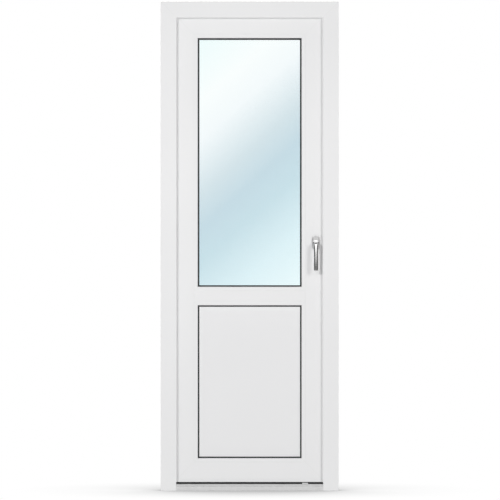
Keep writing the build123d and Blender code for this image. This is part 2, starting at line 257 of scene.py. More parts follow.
def grid_quads(rows, columns, round_rows, round_columns):
    """Four corner numbers for each cell of a grid, with the last row or column joined to the first."""
    number = np.arange(rows * columns).reshape(rows, columns)
    if round_rows:
        number = np.vstack([number, number[:1]])
    if round_columns:
        number = np.hstack([number, number[:, :1]])
    cells = [number[:-1, :-1], number[:-1, 1:], number[1:, 1:], number[1:, :-1]]
    return np.stack(cells, axis=-1).reshape(-1, 4)


class Surface:
    """Grids of points gathered into one mesh."""

    def __init__(self):
        self.points = []
        self.faces = []
        self.total = 0

    def add(self, grid, round_rows=False, round_columns=False, cap_first=False, cap_last=False):
        """Adds a grid of shape (rows, columns, 3); a capped end row is closed by one flat face."""
        rows, columns, _ = grid.shape
        self.points.append(grid.reshape(-1, 3))
        quads = grid_quads(rows, columns, round_rows, round_columns) + self.total
        self.faces.extend(quads.tolist())
        first = np.arange(columns) + self.total
        if cap_first:
            self.faces.append(first.tolist())
        if cap_last:
            self.faces.append((first + (rows - 1) * columns)[::-1].tolist())
        self.total += rows * columns

    def build(self, name, material, body, stands_for=(), sharp=32.0):
        """Makes the object, joins doubled points, turns the faces outwards and rides it on its body."""
        mesh = bpy.data.meshes.new(name)
        mesh.from_pydata(np.vstack(self.points).tolist(), [], self.faces)
        shape = bmesh.new()
        shape.from_mesh(mesh)
        bmesh.ops.remove_doubles(shape, verts=shape.verts, dist=SAME_POINT)
        bmesh.ops.dissolve_degenerate(shape, edges=shape.edges, dist=SAME_POINT)
        bmesh.ops.recalc_face_normals(shape, faces=shape.faces)
        shape.to_mesh(mesh)
        shape.free()
        mesh.shade_smooth()
        mesh.set_sharp_from_angle(angle=math.radians(sharp))
        mesh.materials.append(material)
        piece = bpy.data.objects.new(name, mesh)
        bpy.context.scene.collection.objects.link(piece)
        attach(piece, body)
        if stands_for:
            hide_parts(*stands_for)
        return piece


def arc(start, end, steps):
    """Evenly spaced angles in radians, between two that are given in degrees."""
    return np.radians(np.linspace(start, end, steps))


def whole_turn(steps):
    """Evenly spaced angles round a circle, the last one left out."""
    return np.linspace(0, 2 * math.pi, steps, endpoint=False)


def soft_step(part):
    """Goes from 0 to 1 with level ends: three squares less two cubes."""
    return part * part * (3 - 2 * part)


def signed_power(value, power):
    """The power of a value's size, with its own sign."""
    return np.sign(value) * np.abs(value) ** power


def mitred(profile, x0, x1, z0, z1):
    """A profile of (inward, y) points carried round a rectangle, each corner moved inwards both ways."""
    u, y = profile[:, 0], profile[:, 1]
    corners = [(x0 + u, z0 + u), (x1 - u, z0 + u), (x1 - u, z1 - u), (x0 + u, z1 - u)]
    return np.stack([np.stack([x, y, z], axis=-1) for x, z in corners])


def arched(profile, half_w, z0, z1):
    """A profile of (inward, y) points carried up one side, across the top and down the other."""
    u, y = profile[:, 0], profile[:, 1]
    foot = np.full_like(u, z0)
    corners = [(u - half_w, foot), (u - half_w, z1 - u), (half_w - u, z1 - u), (half_w - u, foot)]
    return np.stack([np.stack([x, y, z], axis=-1) for x, z in corners])


def screw_head(centre, out, up, sizes):
    """A low dome with a cross recess, its edge sunk a little in the plate.

    Height falls from the middle with the square of the radius, and the recess takes away a cross
    whose walls slope: the smaller of the two distances from the arms decides how deep it goes.
    """
    rings = np.concatenate([[HAIR], np.linspace(0.06, 1.0, 18)]) * sizes.screw_r
    radius, around = np.meshgrid(rings, whole_turn(steps=64), indexing="ij")
    a, b = radius * np.cos(around), radius * np.sin(around)
    height = sizes.screw_h * (1 - (radius / sizes.screw_r) ** 2 * 0.75)
    arm = np.minimum(np.abs(a), np.abs(b))
    wall = np.clip((sizes.recess_w - arm) / (sizes.recess_w * 0.5), 0, 1)
    reach = np.clip((sizes.recess_r - radius) / (sizes.recess_w * 0.5), 0, 1)
    height = height - sizes.recess_d * np.minimum(wall, reach)
    side = np.cross(up, out)
    top = centre + a[..., None] * side + b[..., None] * up + height[..., None] * out
    skirt = top[-1:] - (sizes.screw_h * 0.25 + 0.0002) * out
    return np.vstack([top, skirt])


def screws(name, material, body, places, out, up):
    """Screw heads at several places on one body."""
    sizes = settings().fittings
    shape = Surface()
    for place in places:
        head = screw_head(np.array(place), np.array(out), np.array(up), sizes)
        shape.add(head, round_columns=True, cap_first=True, cap_last=True)
    return shape.build(name, material, body, sharp=28.0)


# Shader nodes


def feed(tree, socket, value):
    """Links a socket to another one, or sets its plain value."""
    if isinstance(value, bpy.types.NodeSocket):
        tree.links.new(value, socket)
    else:
        socket.default_value = value


def node(tree, kind, inputs=None, **options):
    """A new node with its options set and its sockets fed."""
    made = tree.nodes.new(kind)
    for key, value in options.items():
        setattr(made, key, value)
    for key, value in (inputs or {}).items():
        feed(tree, made.inputs[key], value)
    return made


def calc(tree, operation, *values):
    """Result of a Math node."""
    made = node(tree, "ShaderNodeMath", operation=operation)
    for socket, value in zip(made.inputs, values):
        feed(tree, socket, value)
    return made.outputs[0]


def axes(tree, place):
    """The X, Y and Z of a place."""
    return node(tree, "ShaderNodeSeparateXYZ", {"Vector": place}).outputs


def remap(tree, value, low, high, new_low, new_high, soft=False):
    """A value carried from one range to another, clamped, straight or with soft ends."""
    inputs = {"Value": value, "From Min": low, "From Max": high, "To Min": new_low, "To Max": new_high}
    way = "SMOOTHSTEP" if soft else "LINEAR"
    return node(tree, "ShaderNodeMapRange", inputs, interpolation_type=way).outputs[0]


def noise(tree, place, scale, detail=2.0, roughness=0.5):
    """Fractal noise at a place."""
    inputs = {"Vector": place, "Scale": scale, "Detail": detail, "Roughness": roughness}
    return node(tree, "ShaderNodeTexNoise", inputs).outputs[0]


def stretch(tree, place, scale):
    """A place scaled by its own factor along each axis."""
    return node(tree, "ShaderNodeMapping", {"Vector": place, "Scale": scale}).outputs[0]


def ramp(tree, value, stops):
    """A colour read from stops of (place, linear colour)."""
    made = node(tree, "ShaderNodeValToRGB", {"Fac": value})
    elements = made.color_ramp.elements
    for index, (at, tint) in enumerate(stops):
        element = elements[index] if index < 2 else elements.new(at)
        element.position = at
        element.color = (*tint, 1.0)
    return made.outputs[0]


def tinted(tint, factor):
    """A colour made lighter or darker by one factor."""
    return tuple(min(1.0, channel * factor) for channel in tint)


def bump(tree, height, distance, strength=1.0, under=None):
    """A normal from a height of 0 to 1, worth a distance in metres, on top of another normal."""
    inputs = {"Height": height, "Distance": distance, "Strength": strength}
    if under is not None:
        inputs["Normal"] = under
    return node(tree, "ShaderNodeBump", inputs).outputs[0]


def new_material(name, **sockets):
    """A material with its Principled shader, and its Object coordinates."""
    material = bpy.data.materials.new(name)
    material.use_nodes = True
    tree = material.node_tree
    shader = tree.nodes["Principled BSDF"]
    for key, value in sockets.items():
        shader.inputs[key.replace("_", " ")].default_value = value
    place = node(tree, "ShaderNodeTexCoord").outputs["Object"]
    return material, tree, shader, place


def drift(tree, value, tint, low, high):
    """A tint that drifts with a noise between two factors of itself."""
    return ramp(tree, value, [(0.3, tinted(tint, low)), (0.7, tinted(tint, high))])


def varied(tree, value, low, high):
    """A number that varies with a noise between two values."""
    return remap(tree, value, 0.3, 0.7, low, high)


def finish(tree, shader, tone, rough, normal):
    """Feeds a finish's colour, roughness and normal to its shader."""
    feed(tree, shader.inputs["Base Color"], tone)
    feed(tree, shader.inputs["Roughness"], rough)
    feed(tree, shader.inputs["Normal"], normal)


def mitre_line(tree, place, half_w, level, above):
    """1 on the mitre plane of a corner and 0 past the weld's half width, from the Object coordinates.

    The plane is where the distance in from the side edge equals the distance in from the top or foot.
    """
    x, _, z = axes(tree, place)
    in_from_side = calc(tree, "SUBTRACT", half_w, calc(tree, "ABSOLUTE", x))
    in_from_end = calc(tree, "SUBTRACT", *((level, z) if above else (z, level)))
    off = calc(tree, "ABSOLUTE", calc(tree, "SUBTRACT", in_from_side, in_from_end))
    return remap(tree, off, *WELD_FADE, 1.0, 0.0, soft=True)


def plastic(name, tint, seams=()):
    """Smooth extruded plastic: a faint drift of tone, draw lines too fine to count, and weld seams."""
    material, tree, shader, place = new_material(name, Specular_IOR_Level=0.45)
    tone = drift(tree, noise(tree, place, 2.3, detail=3.0), tint, 0.988, 1.008)
    rough = varied(tree, noise(tree, place, 21.0, detail=4.0), 0.33, 0.41)
    lines = noise(tree, stretch(tree, place, (900.0, 900.0, 14.0)), 1.0, detail=3.0)
    peel = noise(tree, place, 260.0)
    normal = bump(tree, peel, 0.00004, 0.35, bump(tree, lines, 0.00002, 0.3))
    mark = None
    for half_w, level, above in seams:
        line = mitre_line(tree, place, half_w, level, above)
        mark = line if mark is None else calc(tree, "MAXIMUM", mark, line)
    if mark is not None:
        share_of_grey = calc(tree, "MULTIPLY", mark, 0.10)
        mixed = {0: share_of_grey, 6: tone, 7: (0.45, 0.45, 0.45, 1.0)}
        tone = node(tree, "ShaderNodeMix", mixed, data_type="RGBA").outputs[2]
        normal = bump(tree, calc(tree, "SUBTRACT", 1.0, mark), 0.00025, 0.8, normal)
    finish(tree, shader, tone, rough, normal)
    return material


def metal(name, tint, rough, grain, grain_depth=0.00002, spangle=0.0, metallic=1.0, painted_shade=None):
    """Metal with a fine grain drawn along one axis: grain is the noise's scale along X, Y and Z.

    The last argument is a height and a factor: above that height the tone is darkened by the factor, a
    painted shade where the leaf shades the threshold.
    """
    material, tree, shader, place = new_material(name, Metallic=metallic)
    cloud = noise(tree, place, 60.0, detail=3.0)
    lines = noise(tree, stretch(tree, place, grain), 1.0, detail=4.0, roughness=0.6)
    tone = drift(tree, cloud, tint, 0.96 - spangle, 1.03)
    # Painted shade: the tone is darkened above the given height
    if painted_shade:
        height, factor = painted_shade
        painted_shade_level = remap(tree, axes(tree, place)[2], height, height + PAINTED_SHADE_FADE, 1.0, factor, soft=True)
        scaled = node(tree, "ShaderNodeVectorMath", {0: tone, "Scale": painted_shade_level}, operation="SCALE")
        tone = scaled.outputs[0]
    mixed = calc(tree, "MULTIPLY_ADD", cloud, 0.35, calc(tree, "MULTIPLY", lines, 0.65))
    grained = varied(tree, mixed, rough * 0.8, rough * 1.25)
    finish(tree, shader, tone, grained, bump(tree, lines, grain_depth, 0.5))
    return material


def rubber(name, tint, rough):
    """Matt rubber with a fine moulded skin."""
    material, tree, shader, place = new_material(name, Specular_IOR_Level=0.35, Sheen_Weight=0.04)
    tone = drift(tree, noise(tree, place, 35.0, detail=3.0), tint, 0.85, 1.15)
    skin = noise(tree, place, 1400.0)
    matt = varied(tree, skin, rough - 0.06, rough + 0.06)
    finish(tree, shader, tone, matt, bump(tree, skin, 0.00005, 0.5))
    return material


def painted(name, tint, rough):
    """Powder coat with its fine orange peel."""
    material, tree, shader, place = new_material(name, Specular_IOR_Level=0.5)
    tone = drift(tree, noise(tree, place, 25.0, detail=3.0), tint, 0.985, 1.01)
    peel = noise(tree, place, 420.0)
    gloss = varied(tree, peel, rough - 0.05, rough + 0.05)
    finish(tree, shader, tone, gloss, bump(tree, peel, 0.00006, 0.6))
    return material


# How much less a step across counts than a step down, along the painted reflection's tint
TINT_SLANT = 0.88
# Places along the pane's falling diagonal, 0 at the top left, and the tint there: a painted reflection
# of the sky
PAINTED_SKY_REFLECTION = [
    (0.00, (0.85, 0.98, 0.98)),
    (0.20, (0.96, 1.00, 1.00)),
    (0.31, (0.91, 0.96, 0.98)),
    (0.46, (0.64, 0.76, 0.81)),
    (0.56, (0.53, 0.69, 0.77)),
    (0.66, (0.55, 0.73, 0.80)),
    (0.82, (0.71, 0.88, 0.93)),
    (1.00, (0.84, 0.98, 1.00)),
]


def glass(name, box, tints):
    """Float glass whose tint runs along the diagonal, a painted reflection where the tints differ; lamps
    shine through it.
    """
    material, tree, shader, place = new_material(name, Transmission_Weight=1.0, Roughness=0.0, IOR=1.45)
    low, high = box
    x, _, z = axes(tree, place)
    across = calc(tree, "SUBTRACT", x, low.x)
    down = calc(tree, "SUBTRACT", high.z, z)
    across = calc(tree, "MULTIPLY", across, TINT_SLANT)
    full = TINT_SLANT * (high.x - low.x) + high.z - low.z
    along = calc(tree, "DIVIDE", calc(tree, "ADD", across, down), full)
    wave = noise(tree, place, 1.1, detail=1.0)
    along = calc(tree, "ADD", along, calc(tree, "MULTIPLY", calc(tree, "SUBTRACT", wave, 0.5), 0.03))
    tone = ramp(tree, along, tints)
    feed(tree, shader.inputs["Base Color"], tone)
    lamp_ray = node(tree, "ShaderNodeLightPath").outputs["Is Shadow Ray"]
    clear = node(tree, "ShaderNodeBsdfTransparent", {"Color": tone})
    both = node(tree, "ShaderNodeMixShader", {0: lamp_ray})
    feed(tree, both.inputs[1], shader.outputs[0])
    feed(tree, both.inputs[2], clear.outputs[0])
    feed(tree, tree.nodes["Material Output"].inputs["Surface"], both.outputs[0])
    return material


def dress(material, *names):
    """Gives CAD nodes a material."""
    for name in names:
        target = nodes[name]
        if not target.material_slots:
            target.data.materials.append(material)
        for slot in target.material_slots:
            slot.material = material


def middle(name):
    """X, Y and Z of the middle of a node's box."""
    return [(low + high) / 2 for low, high in zip(*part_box(name))]


def inner_half(name):
    """Smallest distance of a ring node's points from the door's middle line."""
    x = np.array([v.co.x for v in nodes[name].data.vertices])
    return float(np.abs(x).min())


# Operators, one for each piece or group of like pieces


class DressProfiles(bpy.types.Operator):
    """Give the white plastic profiles their finish, with weld seams at the mitres"""

    bl_idname = "balcony_door.profiles"
    bl_label = "Profiles"

    def execute(self, context):
        tint = settings().colours.plastic
        frame_seams = [(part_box("lock_jamb")[1].x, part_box("frame_head")[1].z, True)]
        glass_low, glass_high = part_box("glass_bead_right")
        panel_low, panel_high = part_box("panel_bead_right")
        edge_x = glass_high.x
        leaf_seams = [(edge_x, glass_high.z, True), (edge_x, panel_low.z, False)]
        glass_seams = [(edge_x, glass_high.z, True), (edge_x, glass_low.z, False)]
        panel_seams = [(edge_x, panel_high.z, True), (edge_x, panel_low.z, False)]
        leaf_bars = ("hinge_stile", "lock_stile", "top_rail", "bottom_rail")
        dress(plastic("frame_plastic", tint, frame_seams), "hinge_jamb", "lock_jamb", "frame_head")
        dress(plastic("leaf_plastic", tint, leaf_seams), *leaf_bars)
        dress(plastic("transom_plastic", tint), "transom")
        glass_plastic = plastic("glass_bead_plastic", tint, glass_seams)
        panel_plastic = plastic("panel_bead_plastic", tint, panel_seams)
        for side in SIDES:
            dress(glass_plastic, f"glass_bead_{side}")
            dress(panel_plastic, f"panel_bead_{side}")
        return {"FINISHED"}


class DressPanel(bpy.types.Operator):
    """Give the lower panel its smooth white skin"""

    bl_idname = "balcony_door.panel"
    bl_label = "Lower panel"

    def execute(self, context):
        dress(plastic("panel_skin", settings().colours.panel), "lower_panel")
        return {"FINISHED"}


class DressGlass(bpy.types.Operator):
    """Give the panes their tint, a painted reflection on the outer one, and the spacer its perforated
    aluminium
    """

    bl_idname = "balcony_door.glass"
    bl_label = "Glass"

    def execute(self, context):
        clear = [(0.0, (0.985, 0.995, 0.992)), (1.0, (0.985, 0.995, 0.992))]
        dress(glass("inner_pane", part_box("glass_pane_inside"), clear), "glass_pane_inside")
        # The outer pane's tint is a painted reflection of a sky gradient
        dress(glass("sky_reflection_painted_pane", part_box("glass_pane_outside"), PAINTED_SKY_REFLECTION), "glass_pane_outside")
        dress(self.spacer(settings().colours.spacer), "glass_spacer")
        return {"FINISHED"}

    def spacer(self, tint):
        """Matt aluminium with even rows of fine breathing holes."""
        material, tree, shader, place = new_material("spacer_aluminium", Metallic=0.9)
        rows = {"Vector": place, "Scale": 330.0, "Randomness": 0.0}
        holes = node(tree, "ShaderNodeTexVoronoi", rows).outputs["Distance"]
        mark = remap(tree, holes, 0.16, 0.26, 0.0, 1.0, soft=True)
        tone = ramp(tree, mark, [(0.0, tinted(tint, 0.25)), (1.0, tint)])
        rough = varied(tree, noise(tree, place, 90.0), 0.34, 0.46)
        finish(tree, shader, tone, rough, bump(tree, mark, 0.0003, 0.6))
        return material


class MakeGaskets(bpy.types.Operator):
    """Make the rounded rubber lips round the glass and the panel"""

    bl_idname = "balcony_door.gaskets"
    bl_label = "Gaskets"

    def execute(self, context):
        material = rubber("black_rubber", settings().colours.rubber, 0.55)
        for field in ("glass", "panel"):
            bead_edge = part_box(f"{field}_bead_right")[0].x
            for side in ("inside", "outside"):
                self.lip(f"{field}_gasket_{side}", bead_edge, side == "outside", material)
        return {"FINISHED"}

    def lip(self, name, bead_edge, outdoors, material):
        """A strip, flat under the bead, that falls past it to a thin edge on the glass.

        The fall is a quarter of a superellipse: its height is the strip's thickness times the root of
        one less the power of the distance past the bead.
        """
        low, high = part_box(name)
        tuck = high.x - bead_edge
        reach = (bead_edge - inner_half(name)) * settings().seals.lip_reach
        thick = high.y - low.y
        power = settings().seals.lip_power
        past = np.sin(arc(0, 90, 12))
        fall = (1 - past ** power) ** (1 / power)
        u = np.concatenate([[0.0], tuck + reach * past, [tuck + reach, 0.0]])
        rise = np.concatenate([[1.0], LIP_EDGE + (1 - LIP_EDGE) * fall, [0.0, 0.0]])
        y = low.y + thick * rise if outdoors else high.y - thick * rise
        shape = Surface()
        grid = mitred(np.stack([u, y], axis=-1), low.x, high.x, low.z, high.z)
        shape.add(grid, round_rows=True, round_columns=True)
        return shape.build(f"{name}_lip", material, "leaf", [name])


class MakeSeals(bpy.types.Operator):
    """Make the bulb seals between leaf and frame and the ridged seal under the leaf"""

    bl_idname = "balcony_door.seals"
    bl_label = "Seals"

    def execute(self, context):
        sizes = settings().seals
        grey = rubber("grey_rubber", settings().colours.soft_seal, 0.6)
        black = rubber("sill_rubber", settings().colours.rubber, 0.6)
        self.bulb("frame_seal", "frame", grey, sizes.bulb_power)
        self.bulb("leaf_seal", "leaf", grey, sizes.bulb_power)
        self.ridged("bottom_seal", black, sizes)
        return {"FINISHED"}

    def bulb(self, name, body, material, power):
        """A strip with a rounded bulb: half a superellipse on a flat foot."""
        low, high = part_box(name)
        width = high.x - inner_half(name)
        turn = arc(0, 180, 21)
        across = signed_power(np.cos(turn), 2 / power)
        rise = np.sin(turn) ** (2 / power)
        u = width / 2 * (1 - across)
        thick = high.y - low.y
        y = low.y + thick * rise if body == "frame" else high.y - thick * rise
        shape = Surface()
        grid = arched(np.stack([u, y], axis=-1), high.x, low.z, high.z)
        shape.add(grid, round_columns=True, cap_first=True, cap_last=True)
        return shape.build(f"{name}_bulb", material, body, [name])

    def ridged(self, name, material, sizes):
        """A strip whose underside waves in a squared sine, so that its ridges brush the threshold."""
        low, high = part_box(name)
        across = np.linspace(0, 1, 41)
        wave = np.sin(math.pi * sizes.ridges * across) ** 2
        under = low.z + sizes.ridge_depth * (1 - wave)
        y = np.concatenate([low.y + (high.y - low.y) * across, [high.y, low.y]])
        z = np.concatenate([under, [high.z, high.z]])
        ends = [np.stack([np.full_like(y, x), y, z], axis=-1) for x in (low.x, high.x)]
        shape = Surface()
        shape.add(np.stack(ends), round_columns=True, cap_first=True, cap_last=True)
        return shape.build(f"{name}_ridges", material, "leaf", [name])


class DressThreshold(bpy.types.Operator):
    """Give the threshold its drawn aluminium and make its moulded run-up block"""

    bl_idname = "balcony_door.threshold"
    bl_label = "Threshold"

    def execute(self, context):
        colours = settings().colours
        sizes = settings().fittings
        along = (6.0, 1300.0, 1300.0)
        # Painted shade on the threshold's nose, which the leaf shades
        painted_shade = (sizes.painted_shade_z, sizes.painted_shade_tone)
        dress(
            metal("drawn_aluminium", colours.anodised, 0.38, along, 0.00003, metallic=0.35, painted_shade=painted_shade),
            "threshold",
        )
        self.block(sizes.edge_round, colours.grey_plastic)
        return {"FINISHED"}

    def block(self, edge, tint):
        """A low block with rounded edges: each level is a rounded rectangle drawn in at top and foot."""
        low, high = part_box("threshold_block")
        centre = (low + high) / 2
        half = (high - low) / 2
        turn = whole_turn(steps=64)
        corner_x, corner_y = np.cos(turn), np.sin(turn)
        lean = arc(0, 90, 7)
        steps = [(0.0, low.z)]
        steps += [(edge * (1 - math.cos(t)), high.z - edge * (1 - math.sin(t))) for t in lean]
        rows = []
        for inset, z in steps:
            x = centre.x + np.sign(corner_x) * (half.x - edge) + corner_x * (edge - inset)
            y = centre.y + np.sign(corner_y) * (half.y - edge) + corner_y * (edge - inset)
            rows.append(np.stack([x, y, np.full_like(x, z)], axis=-1))
        shape = Surface()
        shape.add(np.stack(rows), round_columns=True, cap_first=True, cap_last=True)
        material = painted("moulded_grey", tint, 0.5)
        return shape.build("run_up_block", material, "frame", ["threshold_block"])


class MakeHandle(bpy.types.Operator):
    """Make the bent lever and the raised rose"""

    bl_idname = "balcony_door.handle"
    bl_label = "Handle"

    def execute(self, context):
        colours = settings().colours
        satin = metal("satin_metal", colours.satin, 0.15, (420.0, 420.0, 60.0), 0.00001)
        self.lever(satin)
        self.rose(metal("brushed_metal", colours.rose, 0.30, (60.0, 420.0, 420.0), 0.00001), satin)
        dress(metal("spindle_steel", colours.steel, 0.35, (900.0, 30.0, 900.0)), "handle_spindle")
        return {"FINISHED"}

    def lever(self, material):
        """A neck that flattens and bends down into a gently bowed, tapering grip.

        The middle line runs out along the neck, down through a quarter bend, and on with a slope that
        changes evenly from the elbow to the tip, so that it is a parabola there. Each point is the
        middle line's point plus half the width times X and half the thickness times the line's own
        normal, both by the signed powers of cosine and sine that make a superellipse.
        """
        sizes = settings().handle
        low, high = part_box("handle_lever")
        rose_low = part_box("handle_rose")[0]
        axis_x = middle("handle_lever")[0]
        axis_z = middle("handle_rose")[2]
        head_half = (high.x - low.x) / 2
        neck_half = min(sizes.bore_r - sizes.neck_gap, head_half)
        slope_top = math.tan(sizes.lean_top)
        slope_tip = math.tan(sizes.lean_tip)
        bend = sizes.elbow
        full_turn = math.pi / 2 - sizes.lean_top
        grip_top = axis_z - bend * (1 - math.cos(full_turn))
        grip_len = grip_top - low.z
        end_turn = arc(0, 90, 9)
        straight = 1 - sizes.end_round / grip_len
        down = np.linspace(0, straight, GRIP_STEPS)[1:]
        done = np.concatenate([down, straight + (1 - straight) * np.sin(end_turn)[1:]])
        bow = grip_len * (slope_top * done + (slope_tip - slope_top) * done ** 2 / 2)
        grip_y = low.y + sizes.grip_t + bow.max()
        elbow_y = grip_y + bend * math.sin(full_turn)
        boss_y = rose_low.y - sizes.boss_rise
        step_down = np.linspace(0, 1, 6)
        neck_y = np.concatenate([[high.y], boss_y - sizes.boss_slope * step_down, [elbow_y]])
        turn = np.linspace(0, full_turn, 19)[1:]
        slope = slope_top + (slope_tip - slope_top) * done
        line_y = np.concatenate([neck_y, elbow_y - bend * np.sin(turn), grip_y - bow])
        line_z = np.concatenate([
            np.full(len(neck_y), axis_z),
            axis_z - bend * (1 - np.cos(turn)),
            grip_top - done * grip_len,
        ])
        lean = np.concatenate([np.zeros(len(neck_y)), turn, math.pi / 2 - np.arctan(slope)])
        out_along = np.concatenate([[0.0], step_down, [1.0]])
        flat = np.concatenate([out_along, np.ones(len(turn) + len(done))])
        gone = np.concatenate([np.zeros(len(neck_y) + len(turn)), done])
        inset = np.concatenate([
            np.zeros(len(neck_y) + len(turn) + len(down)),
            sizes.end_round * (1 - np.cos(end_turn))[1:],
        ])
        wide = neck_half + (head_half - neck_half) * flat - sizes.narrowing * gone
        wide = wide - sizes.waist * np.sin(math.pi * np.clip(gone * WAIST_FIT, 0, 1)) - inset
        elbow_t = np.concatenate([
            neck_half + (sizes.neck_h - neck_half) * out_along,
            sizes.neck_h + (sizes.grip_t - sizes.neck_h) * turn / full_turn,
            sizes.grip_t + (sizes.tip_t - sizes.grip_t) * done,
        ])
        thick = elbow_t - inset
        power = (2 + (sizes.squareness - 2) * flat)[:, None]
        around = whole_turn(steps=72)
        across = signed_power(np.cos(around), 2 / power)
        out = signed_power(np.sin(around), 2 / power)
        x = axis_x + wide[:, None] * across
        y = line_y[:, None] - thick[:, None] * out * np.sin(lean)[:, None]
        z = line_z[:, None] + thick[:, None] * out * np.cos(lean)[:, None]
        shape = Surface()
        shape.add(np.stack([x, y, z], axis=-1), round_columns=True, cap_first=True, cap_last=True)
        return shape.build("bent_lever", material, "handle", ["handle_lever"], sharp=60.0)

    def rose(self, plate, polished):
        """A long plate with half-round ends, and a round collar on it with a sloping ring.

        Each ring is a circle split at its widest and pushed apart, up and down, by its own amount.
        """
        sizes = settings().handle
        low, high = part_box("handle_rose")
        wide = (high.x - low.x) / 2
        push = (high.z - low.z) / 2 - wide
        edge = sizes.rose_edge
        base_r = wide - edge
        edge_y = high.y - sizes.rose_h
        crown_y = edge_y - edge
        foot_y = crown_y - sizes.rose_rise
        rings = [(wide, push, high.y), (wide, push, edge_y)]
        for t in arc(0, 90, 8)[1:]:
            rings.append((wide - edge * (1 - math.cos(t)), push, edge_y - edge * math.sin(t)))
        for step in np.linspace(0, 1, 14)[1:]:
            radius = base_r + (sizes.collar_r - base_r) * step
            rings.append((radius, push * (1 - step), crown_y - sizes.rose_rise * soft_step(step)))
        rings += [(sizes.bore_r, 0.0, foot_y), (sizes.bore_r, 0.0, high.y)]
        self.rings("raised_rose", rings, plate, ["handle_rose"])
        lip = sizes.collar_lip
        top_y = low.y + sizes.collar_slope
        rings = [
            (sizes.collar_r, 0.0, foot_y + lip),
            (sizes.collar_r, 0.0, top_y + lip),
            (sizes.collar_r - lip / 4, 0.0, top_y + lip / 4),
            (sizes.collar_r - lip, 0.0, top_y),
            (sizes.bore_r + lip / 2, 0.0, low.y),
            (sizes.bore_r, 0.0, low.y + lip / 2),
            (sizes.bore_r, 0.0, foot_y + lip),
        ]
        self.rings("rose_collar", rings, polished, [])

    def rings(self, name, rings, material, stands_for):
        """Rings of (radius, push apart, Y) about the middle of the rose, joined into a closed ring."""
        middle_x, _, middle_z = middle("handle_rose")
        half_turn = np.linspace(0, math.pi, 33)
        around = np.concatenate([half_turn, half_turn + math.pi])
        side = np.concatenate([np.ones_like(half_turn), -np.ones_like(half_turn)])
        radius, apart, depth = (np.array(column)[:, None] for column in zip(*rings))
        x = middle_x + radius * np.cos(around)
        z = middle_z + radius * np.sin(around) + apart * side
        y = np.broadcast_to(depth, x.shape)
        shape = Surface()
        shape.add(np.stack([x, y, z], axis=-1), round_rows=True, round_columns=True)
        return shape.build(name, material, "leaf", stands_for, sharp=50.0)


class DressHinges(bpy.types.Operator):
    """Give the hinges their white coat and bright pins, and put in their screws"""

    bl_idname = "balcony_door.hinges"
    bl_label = "Hinges"

    def execute(self, context):
        colours = settings().colours
        sizes = settings().fittings
        coat = painted("white_coat", colours.paint, 0.38)
        bright = metal("turned_steel", colours.steel, 0.28, (700.0, 700.0, 60.0))
        frame_places = []
        leaf_places = []
        for level in LEVELS:
            dress(coat, f"hinge_{level}_frame_part", f"hinge_{level}_leaf_part")
            dress(bright, f"hinge_{level}_pin")
            middle_z = middle(f"hinge_{level}_frame_part")[2]
            screw_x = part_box(f"hinge_{level}_frame_part")[0].x + sizes.frame_screw_x
            plate_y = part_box("lock_jamb")[1].y + sizes.plate_t
            for step in (-1, 0, 1):
                frame_places.append((screw_x, plate_y, middle_z + step * sizes.frame_screw_step))
            edge_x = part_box(f"hinge_{level}_leaf_part")[1].x
            plate_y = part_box("lock_stile")[1].y + sizes.plate_t
            for x, offset in LEAF_SCREWS:
                leaf_places.append((edge_x + x, plate_y, middle_z + offset))
        out, up = (0.0, 1.0, 0.0), (0.0, 0.0, 1.0)
        screws("hinge_frame_screws", bright, "frame", frame_places, out, up)
        screws("hinge_leaf_screws", bright, "leaf", leaf_places, out, up)
        return {"FINISHED"}


